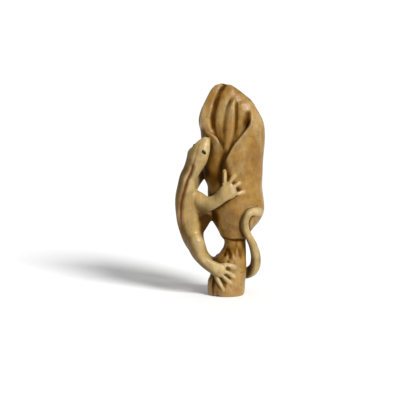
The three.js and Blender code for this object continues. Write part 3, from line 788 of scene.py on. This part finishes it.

# Where the leaf and the stalk are painted darker, partly as painted shade under and between parts
# and partly as dye left thick: [x, y, z, reach in x, y, z, strength]. A row with no comment
# belongs to the place named above it.
LEAF_SHADE_AND_STAINS = [
    [-0.4, -6.0, 39.6, 1.7, 4.0, 5.0, 1.1],  # between the newt's neck and its hand
    [-3.2, -5.0, 38.2, 3.0, 5.0, 3.8, 0.8],
    [-6.4, -3.0, 40.5, 1.2, 5.0, 2.8, 1.0],
    [-0.6, -6.5, 46.0, 0.9, 3.0, 4.5, 0.6],  # where the two rims come together
    [2.2, -7.0, 37.4, 3.0, 3.0, 3.0, 0.45],  # between the fingers
    [0.9, -7.0, 38.7, 0.9, 3.0, 1.1, 1.1],
    [2.6, -7.0, 37.2, 1.0, 3.0, 0.8, 0.9],
    [3.9, -7.0, 35.4, 1.0, 3.0, 0.7, 1.2],
    [-5.8, -2.5, 26.8, 2.6, 6.0, 3.0, 1.5],  # under the arm
    [1.0, -6.0, 23.0, 5.0, 5.0, 5.0, 0.25],  # low on the leaf
    [-3.4, -3.0, 23.4, 1.2, 6.0, 4.4, 0.7],
    [3.6, -4.0, 18.6, 3.0, 3.0, 0.6, 0.4],  # under the leaf
    [0.6, -4.0, 14.7, 1.6, 3.0, 1.8, 1.1],  # at the top of the stalk
    [3.4, -4.0, 15.2, 2.6, 3.0, 2.2, 0.6],
    [0.5, -6.0, 6.0, 3.2, 3.0, 3.2, 0.4],  # between the toes
    [-3.6, -4.0, 6.4, 1.8, 4.0, 3.4, 1.2],  # the left of the stalk, behind the newt's foot
    [-3.0, -3.0, 1.2, 1.4, 6.0, 1.2, 0.4],  # round the chip
    [-1.8, -3.6, 50.4, 0.8, 3.0, 4.0, 0.9],  # low in the mouth
    [3.8, -3.0, 59.0, 0.7, 3.0, 5.0, 0.3],  # between the middle fold and the right one
    [6.6, -3.0, 57.2, 1.4, 3.0, 2.8, 1.1],  # along the right rim
    [3.5, -3.4, 52.0, 0.9, 3.0, 3.0, 0.8],
    [4.9, -3.6, 54.8, 0.9, 3.0, 1.6, 0.3],
    [-7.6, -2.0, 53.4, 1.6, 5.0, 2.0, 0.8],  # under the left fold, above the newt's head
    [7.8, -3.0, 41.5, 2.2, 8.0, 9.0, 0.12],  # down the right of the leaf
]
# And on the newt, painted shade and dye in the same way.
NEWT_SHADE_AND_STAINS = [
    [-6.5, -1.0, 22.6, 1.7, 6.0, 3.4, 2.0],  # the belly
    [-6.4, -1.0, 25.6, 2.0, 6.0, 1.3, 1.6],
    [-6.0, -2.0, 15.0, 1.2, 6.0, 4.0, 0.5],  # the inner side of the thigh
    [-8.8, -3.0, 37.6, 1.6, 3.0, 2.4, 0.8],  # in the bend of the arm
    [1.4, -7.4, 34.8, 2.4, 2.0, 2.4, 0.4],  # the palm
    [12.4, -2.0, 13.0, 1.6, 4.0, 8.0, 0.8],  # the outer side of the tail
]
# Where handling has rubbed the dye off again.
RUBBED = [
    [-8.0, -2.0, 58.0, 2.2, 5.0, 6.0, 0.8],  # the outer side of the left fold
    [6.0, -6.0, 46.5, 2.6, 4.0, 4.0, 0.25],  # the leaf below its right rim
    [11.0, -2.0, 59.0, 2.4, 6.0, 4.5, 0.6],  # the shoulder of the leaf
    [6.6, -2.0, 62.4, 2.0, 3.0, 1.4, 0.35],  # the top of the right fold
    [2.0, -5.0, 2.0, 5.0, 4.0, 3.0, 0.5],  # the foot
    [-3.4, -5.5, 49.0, 1.6, 3.0, 2.6, 0.7],  # the left rim, beside the newt's head
]


def spot_strength(spots):
    """How strongly a list of spots marks each point, as painted shade, dye or rubbing: each spot
    adds its strength times a bell of the distance from its middle, counted in its reaches."""
    total = np.zeros(len(points))
    for *spot, strength in spots:
        away = (points - spot[:3]) / spot[3:]
        total += strength * np.exp(-np.sum(away**2, axis=1))
    return total


# The newt is painted darker, as painted shade, on the side that it turns away from the lamp, back,
# left and down, less so low down and on the head; it is also darker in a band on both sides of
# its groove.
FLANK = np.array([-0.88, 0.1, -0.46])
height = points[:, 2]
shade_turned_away = smoothstep(-0.15, 0.6, normal @ FLANK)
shade_turned_away *= 1 - 0.25 * (1 - smoothstep(19, 27, height)) - 0.45 * smoothstep(42, 48, height)
band = 2.0 + 1.2 * (1 - smoothstep(28, 36, height))
beside_groove = np.exp(-((from_groove / band) ** 2)) * (1 - smoothstep(36, 41, height))

# A painted shadow also runs along the inside of the right rim, where its edge stands over the
# leaf; dye stands in the groove from the tip; the crease under the leaf is darkened; and dye lies
# in streaks along the fibres of the stalk.
RIM_FROM, RIM_TO, RIM_REACH = 38, 60, 0.75
INSIDE_RIM, INSIDE_SHARE = 5, 0.95  # degrees back from the rim, and share of the leaf's form
FIBRE_LENGTH = 0.22  # 1 over how much longer a fibre is than it is wide
# Painted shade and dye from the spots, then the painted shadow inside the right rim.
shade_and_stain = spot_strength(LEAF_SHADE_AND_STAINS) * (1 - on_newt_skin) + spot_strength(NEWT_SHADE_AND_STAINS) * on_newt_skin
heights = np.linspace(RIM_FROM, RIM_TO, 200)
inside_rim = through(RIGHT_EDGE, heights) - INSIDE_RIM
from_rim = distance_to(points, oval_points(LEAF, heights, inside_rim, INSIDE_SHARE)[:, 0])
shade_and_stain += 0.9 * np.exp(-((from_rim / RIM_REACH) ** 2)) * (1 - on_newt_skin)
shade_and_stain += bell_round(TIP_GROOVE, 0.75) + 0.7 * foot_crease
on_stalk = (1 - smoothstep(17.5, 19, height)) * (1 - on_newt_skin)
fibres = waves(points * [1, 1, FIBRE_LENGTH], 0.9, 7) * on_stalk
shade_and_stain = (shade_and_stain + 0.08 * fibres) * (1 + 0.4 * fibres)
shade_and_stain *= 1 + 0.22 * waves(points, 3, 4)
rubbed = spot_strength(RUBBED) * (1 - on_newt_skin) * (1 + 0.25 * waves(points, 4, 5))

# What the material reads: each is a number at every point of the mesh.
marks = {
    "newt": on_newt_skin,
    "shut_in_shade_and_dye": shut_in_shade_and_dye,
    "shade_and_stain": np.clip(shade_and_stain, 0, 1.5),
    "rubbed": np.clip(rubbed, 0, 1),
    "shade_away_and_groove_band": on_newt_skin * np.clip(shade_turned_away + 0.6 * beside_groove * height_fade, 0, 1),
    "crease": np.clip(6.0 * np.clip(fine, 0, 1) + 3.0 * np.clip(middle, 0, 1), 0, 1),
    "worn": np.clip(5.0 * np.clip(-fine, 0, 1) + 1.2 * np.clip(-middle, 0, 1), 0, 1),
    "groove": np.clip(groove + 0.5 * head_line, 0, 1),
    "bark": bark,
}
for name, values in marks.items():
    attribute = carving.data.attributes.new(name, "FLOAT", "POINT")
    attribute.data.foreach_set("value", values.astype(np.float32))


def apply_modifiers(piece):
    """Gives the piece the mesh that its modifiers make, and takes the modifiers off."""
    bpy.context.view_layer.update()
    depsgraph = bpy.context.evaluated_depsgraph_get()
    finished = bpy.data.meshes.new_from_object(piece.evaluated_get(depsgraph))
    piece.modifiers.clear()
    old, piece.data = piece.data, finished
    bpy.data.meshes.remove(old)


thin_out = carving.modifiers.new("thin out", "DECIMATE")
thin_out.ratio = min(1.0, CARVING_TRIANGLES / (2 * len(faces)))
apply_modifiers(carving)
carving.data.polygons.foreach_set("use_smooth", np.ones(len(carving.data.polygons), bool))

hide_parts("newt_and_leaf")
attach(carving, "root")


def linear(hex_colour):
    """sRGB hex to the linear values that a shader takes."""
    value = np.array([int(hex_colour[i : i + 2], 16) for i in (1, 3, 5)]) / 255
    value = np.where(value <= 0.04045, value / 12.92, ((value + 0.055) / 1.055) ** 2.4)
    return (*value, 1.0)


def new_material(name):
    """An empty node material and its shader."""
    material = bpy.data.materials.new(name)
    material.use_nodes = True
    return material, material.node_tree.nodes["Principled BSDF"]


def node(material, kind, settings=None, **inputs):
    """Adds a node with its settings. Each input is a value, or another node's output to link."""
    tree = material.node_tree
    added = tree.nodes.new("ShaderNode" + kind)
    for key, value in (settings or {}).items():
        setattr(added, key, value)
    for key, value in inputs.items():
        by_number = key[0] == "i" and key[1:].isdigit()
        socket = added.inputs[int(key[1:]) if by_number else key.replace("_", " ")]
        if isinstance(value, bpy.types.NodeSocket):
            tree.links.new(value, socket)
        else:
            socket.default_value = value
    return added


def blend(material, factor, a, b, how="MIX"):
    """a turning into b, both colours, by a factor."""
    mixed = node(material, "Mix", {"data_type": "RGBA", "blend_type": how}, i0=factor, i6=a, i7=b)
    return mixed.outputs[2]


def spread(material, value, low, high, to_low=0.0, to_high=1.0):
    """A value read between two limits, smoothly."""
    ranged = node(
        material, "MapRange", {"interpolation_type": "SMOOTHSTEP"},
        Value=value, From_Min=low, From_Max=high, To_Min=to_low, To_Max=to_high,
    )
    return ranged.outputs["Result"]


def mottle(material, place, size, detail=3.0, stretch=(1, 1, 1)):
    """Noise whose patches are about size millimetres across."""
    scaled = node(material, "Mapping", i0=place, Scale=tuple(v / (size * MM) for v in stretch))
    noise = node(
        material, "TexNoise", Vector=scaled.outputs[0], Scale=1.0, Detail=detail, Roughness=0.55
    )
    return noise.outputs["Fac"]


def laid_over(material, colour, layers):
    """Colours laid over one another. A layer is a value, the two limits that it is read between,
    the most that it covers, and its sRGB colour."""
    for value, low, high, cover, hex_colour in layers:
        share = spread(material, value, low, high, 0, cover)
        colour = blend(material, share, colour, linear(hex_colour))
    return colour


# Stag antler, carved, stained with tea-brown dye, rubbed back and polished: pale and creamy where
# it is rubbed, honey and orange where the dye took, dark in the cuts, with a soft gloss that dies
# away in the hollows. Painted shade darkens it too, where air is shut in, under and between parts,
# and on the newt's side turned from the lamp. Its pores and dye blotches are 1 to 8 mm across.
antler, shader = new_material("stained and polished stag antler")
place = node(antler, "TexCoord").outputs["Object"]
mark = {
    name: node(antler, "Attribute", {"attribute_name": name}).outputs["Fac"] for name in marks
}
blotch = spread(antler, mottle(antler, place, 8), 0.36, 0.62)
pale_patch = spread(antler, mottle(antler, place, 5, stretch=(1, 1, 0.4)), 0.48, 0.68)
grain = mottle(antler, place, 0.8, detail=5, stretch=(1, 1, 0.25))
speck = spread(antler, mottle(antler, place, 1.4, detail=2), 0.62, 0.7)
leaf_colour = blend(antler, blotch, linear("#8F6C2E"), linear("#815913"))
leaf_colour = laid_over(antler, leaf_colour, [
    [pale_patch, 0, 1, 0.6, "#9C8350"],
    [speck, 0, 1, 0.5, "#593815"],
    [mark["rubbed"], 0, 1, 0.8, "#B89F70"],
])
newt_colour = blend(antler, blotch, linear("#AE9766"), linear("#9C8048"))
# Painted shade: the newt's side turned away from the lamp is darkened.
newt_colour = laid_over(antler, newt_colour, [[mark["shade_away_and_groove_band"], 0, 1, 0.85, "#553B14"]])
# The layers for shut-in air and for the spots paint shade as well as dye.
colour = laid_over(antler, blend(antler, mark["newt"], leaf_colour, newt_colour), [
    [grain, 0.35, 0.75, 0.3, "#6E4F20"],
    [mark["worn"], 0, 0.7, 0.35, "#B8A47A"],
    [mark["bark"], 0.1, 1, 0.35, "#6A3F16"],
    [mark["shut_in_shade_and_dye"], 0.2, 0.7, 0.4, "#5A3810"],
    [mark["shade_and_stain"], 0.05, 0.8, 0.85, "#553309"],
    [mark["shade_and_stain"], 0.6, 1.2, 0.8, "#2A1602"],
    [mark["crease"], 0.08, 0.6, 0.85, "#3A1F03"],
    [mark["shut_in_shade_and_dye"], 0.55, 0.9, 0.5, "#2A1503"],
    [mark["groove"], 0.15, 0.9, 0.7, "#743A1A"],
])
tone = spread(antler, mottle(antler, place, 2.6, detail=6), 0.34, 0.66, 0.84, 1.1)
colour = blend(antler, 1.0, colour, tone, "MULTIPLY")
antler.node_tree.links.new(colour, shader.inputs["Base Color"])
rough = spread(antler, grain, 0.3, 0.7, 0.34, 0.5)
antler.node_tree.links.new(rough, shader.inputs["Roughness"])
most = {"operation": "MAXIMUM"}
dull = node(antler, "Math", most, i0=mark["crease"], i1=mark["shut_in_shade_and_dye"]).outputs[0]
dull = node(antler, "Math", most, i0=dull, i1=mark["shade_and_stain"]).outputs[0]
dull = node(antler, "Math", {"operation": "MULTIPLY_ADD"}, i0=mark["shade_away_and_groove_band"], i1=0.5, i2=dull)
gloss = spread(antler, dull.outputs[0], 0.1, 0.6, 0.4, 0.03)
antler.node_tree.links.new(gloss, shader.inputs["Specular IOR Level"])
shader.inputs["Subsurface Weight"].default_value = 0.08
shader.inputs["Subsurface Radius"].default_value = (1.0, 0.6, 0.3)
shader.inputs["Subsurface Scale"].default_value = 1.0 * MM
shader.inputs["IOR"].default_value = 1.5
tool_marks = mottle(antler, place, 2.2, detail=4)
bump = node(antler, "Bump", Height=tool_marks, Strength=0.6, Distance=0.35 * MM)
bump = node(antler, "Bump", Height=grain, Strength=0.3, Distance=0.1 * MM, Normal=bump.outputs[0])
antler.node_tree.links.new(bump.outputs["Normal"], shader.inputs["Normal"])
carving.data.materials.clear()
carving.data.materials.append(antler)


# ---- Eyes ------------------------------------------------------------------------------------
# Two pegs of dark horn, glued into drilled sockets and polished to low domes. Each is longer than
# it is wide, and stands at a slant to the line of the head.

EYE_RADII = [0.86, 0.52, 0.36]  # along its slant, across it, and out
EYE_SUNK = 0.12
EYE_SLANT = 62  # degrees from the line of the head
EYE_LINE = 0.4  # of a row of NEWT, towards the snout, to a place that gives the line of the head
EYE_RINGS, EYE_SIDES = 24, 40

# Buffalo horn, nearly black, with a dull polish.
horn, shader = new_material("polished dark horn")
shader.inputs["Base Color"].default_value = linear("#140B05")
shader.inputs["Roughness"].default_value = 0.35
shader.inputs["IOR"].default_value = 1.54
shader.inputs["Specular IOR Level"].default_value = 0.2


def dome(radii):
    """An ellipsoid: circles of latitude from pole to pole, scaled by three radii."""
    latitude = np.linspace(0, np.pi, EYE_RINGS)[:, None]
    longitude = np.linspace(0, 2 * np.pi, EYE_SIDES, endpoint=False)[None, :]
    ball = np.stack([
        np.sin(latitude) * np.cos(longitude),
        np.sin(latitude) * np.sin(longitude),
        np.cos(latitude) * np.ones_like(longitude),
    ], axis=2)
    return ball * radii


for name, angle, spot in zip(("right_eye", "left_eye"), EYE_ANGLES, eye_spots):
    nearest = np.argmin(np.linalg.norm(points - spot, axis=1))
    out = normal[nearest]
    along = on_newt(NEWT, np.array([EYE_AT - EYE_LINE]), np.array([angle]))[0] - spot
    along -= out * (along @ out)
    along /= np.linalg.norm(along)
    slant = np.radians(EYE_SLANT) * np.sign(angle)
    long_way = along * np.cos(slant) + np.cross(out, along) * np.sin(slant)
    frame_of_eye = np.array([long_way, np.cross(out, long_way), out])
    skin = dome(EYE_RADII) @ frame_of_eye + points[nearest] - out * EYE_SUNK
    skin_faces = closed_faces(EYE_RINGS, EYE_SIDES, 0)[:, ::-1]
    eye = mesh_object(name + "_peg", skin.reshape(-1, 3) * MM, skin_faces)
    eye.data.polygons.foreach_set("use_smooth", np.ones(len(eye.data.polygons), bool))
    eye.data.materials.append(horn)
    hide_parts(name)
    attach(eye, "root")


# ---- Floor, light and camera -----------------------------------------------------------------
# A white floor of paper, one soft lamp high at the right, and a long lens a little above.

FLOOR_REACH = 30.0  # metres to each side
CAMERA_TILT = np.radians(7)
FRAME_WIDTH = 134.5 * MM
LENS = 100
SENSOR = 36
TARGET = np.array([-6.72, 0, 29.2]) * MM
KEY_STRENGTH = 4.0
KEY_SOFTNESS = np.radians(20)
KEY_FROM = (np.radians(55), 0, np.radians(41))  # down from straight overhead, and to the right
AMBIENT, BACKDROP = 0.46, 1.05  # the white room as it lights the piece, and as it is seen

# Paper, white and quite matt.
paper, shader = new_material("matt white paper")
shader.inputs["Base Color"].default_value = (0.9, 0.9, 0.9, 1)
shader.inputs["Roughness"].default_value = 0.9
corners = np.array([[-1, -1, 0], [1, -1, 0], [1, 1, 0], [-1, 1, 0]]) * FLOOR_REACH
floor = mesh_object("floor", corners, np.array([[0, 1, 2, 3]]))
floor.data.materials.append(paper)

distance = LENS / SENSOR * FRAME_WIDTH
camera_data = bpy.data.cameras.new("camera")
camera_data.sensor_fit = "HORIZONTAL"
camera_data.sensor_width = SENSOR
camera_data.lens = LENS
camera_data.clip_start = 0.01
camera_data.clip_end = 100
camera = bpy.data.objects.new("camera", camera_data)
bpy.context.scene.collection.objects.link(camera)
camera.location = TARGET + distance * np.array([0, -np.cos(CAMERA_TILT), np.sin(CAMERA_TILT)])
camera.rotation_euler = (np.pi / 2 - CAMERA_TILT, 0, 0)
bpy.context.scene.camera = camera

sun = bpy.data.lights.new("key lamp", "SUN")
sun.energy = KEY_STRENGTH
sun.angle = KEY_SOFTNESS
key = bpy.data.objects.new("key lamp", sun)
bpy.context.scene.collection.objects.link(key)
key.rotation_euler = KEY_FROM

world = bpy.data.worlds.new("studio")
world.use_nodes = True
nodes, links = world.node_tree.nodes, world.node_tree.links
seen = nodes.new("ShaderNodeLightPath")
strength = nodes.new("ShaderNodeMapRange")
strength.inputs["To Min"].default_value = AMBIENT
strength.inputs["To Max"].default_value = BACKDROP
links.new(seen.outputs["Is Camera Ray"], strength.inputs["Value"])
nodes["Background"].inputs["Color"].default_value = (1, 1, 1, 1)
links.new(strength.outputs["Result"], nodes["Background"].inputs["Strength"])
bpy.context.scene.world = world
bpy.context.scene.view_settings.view_transform = "Standard"
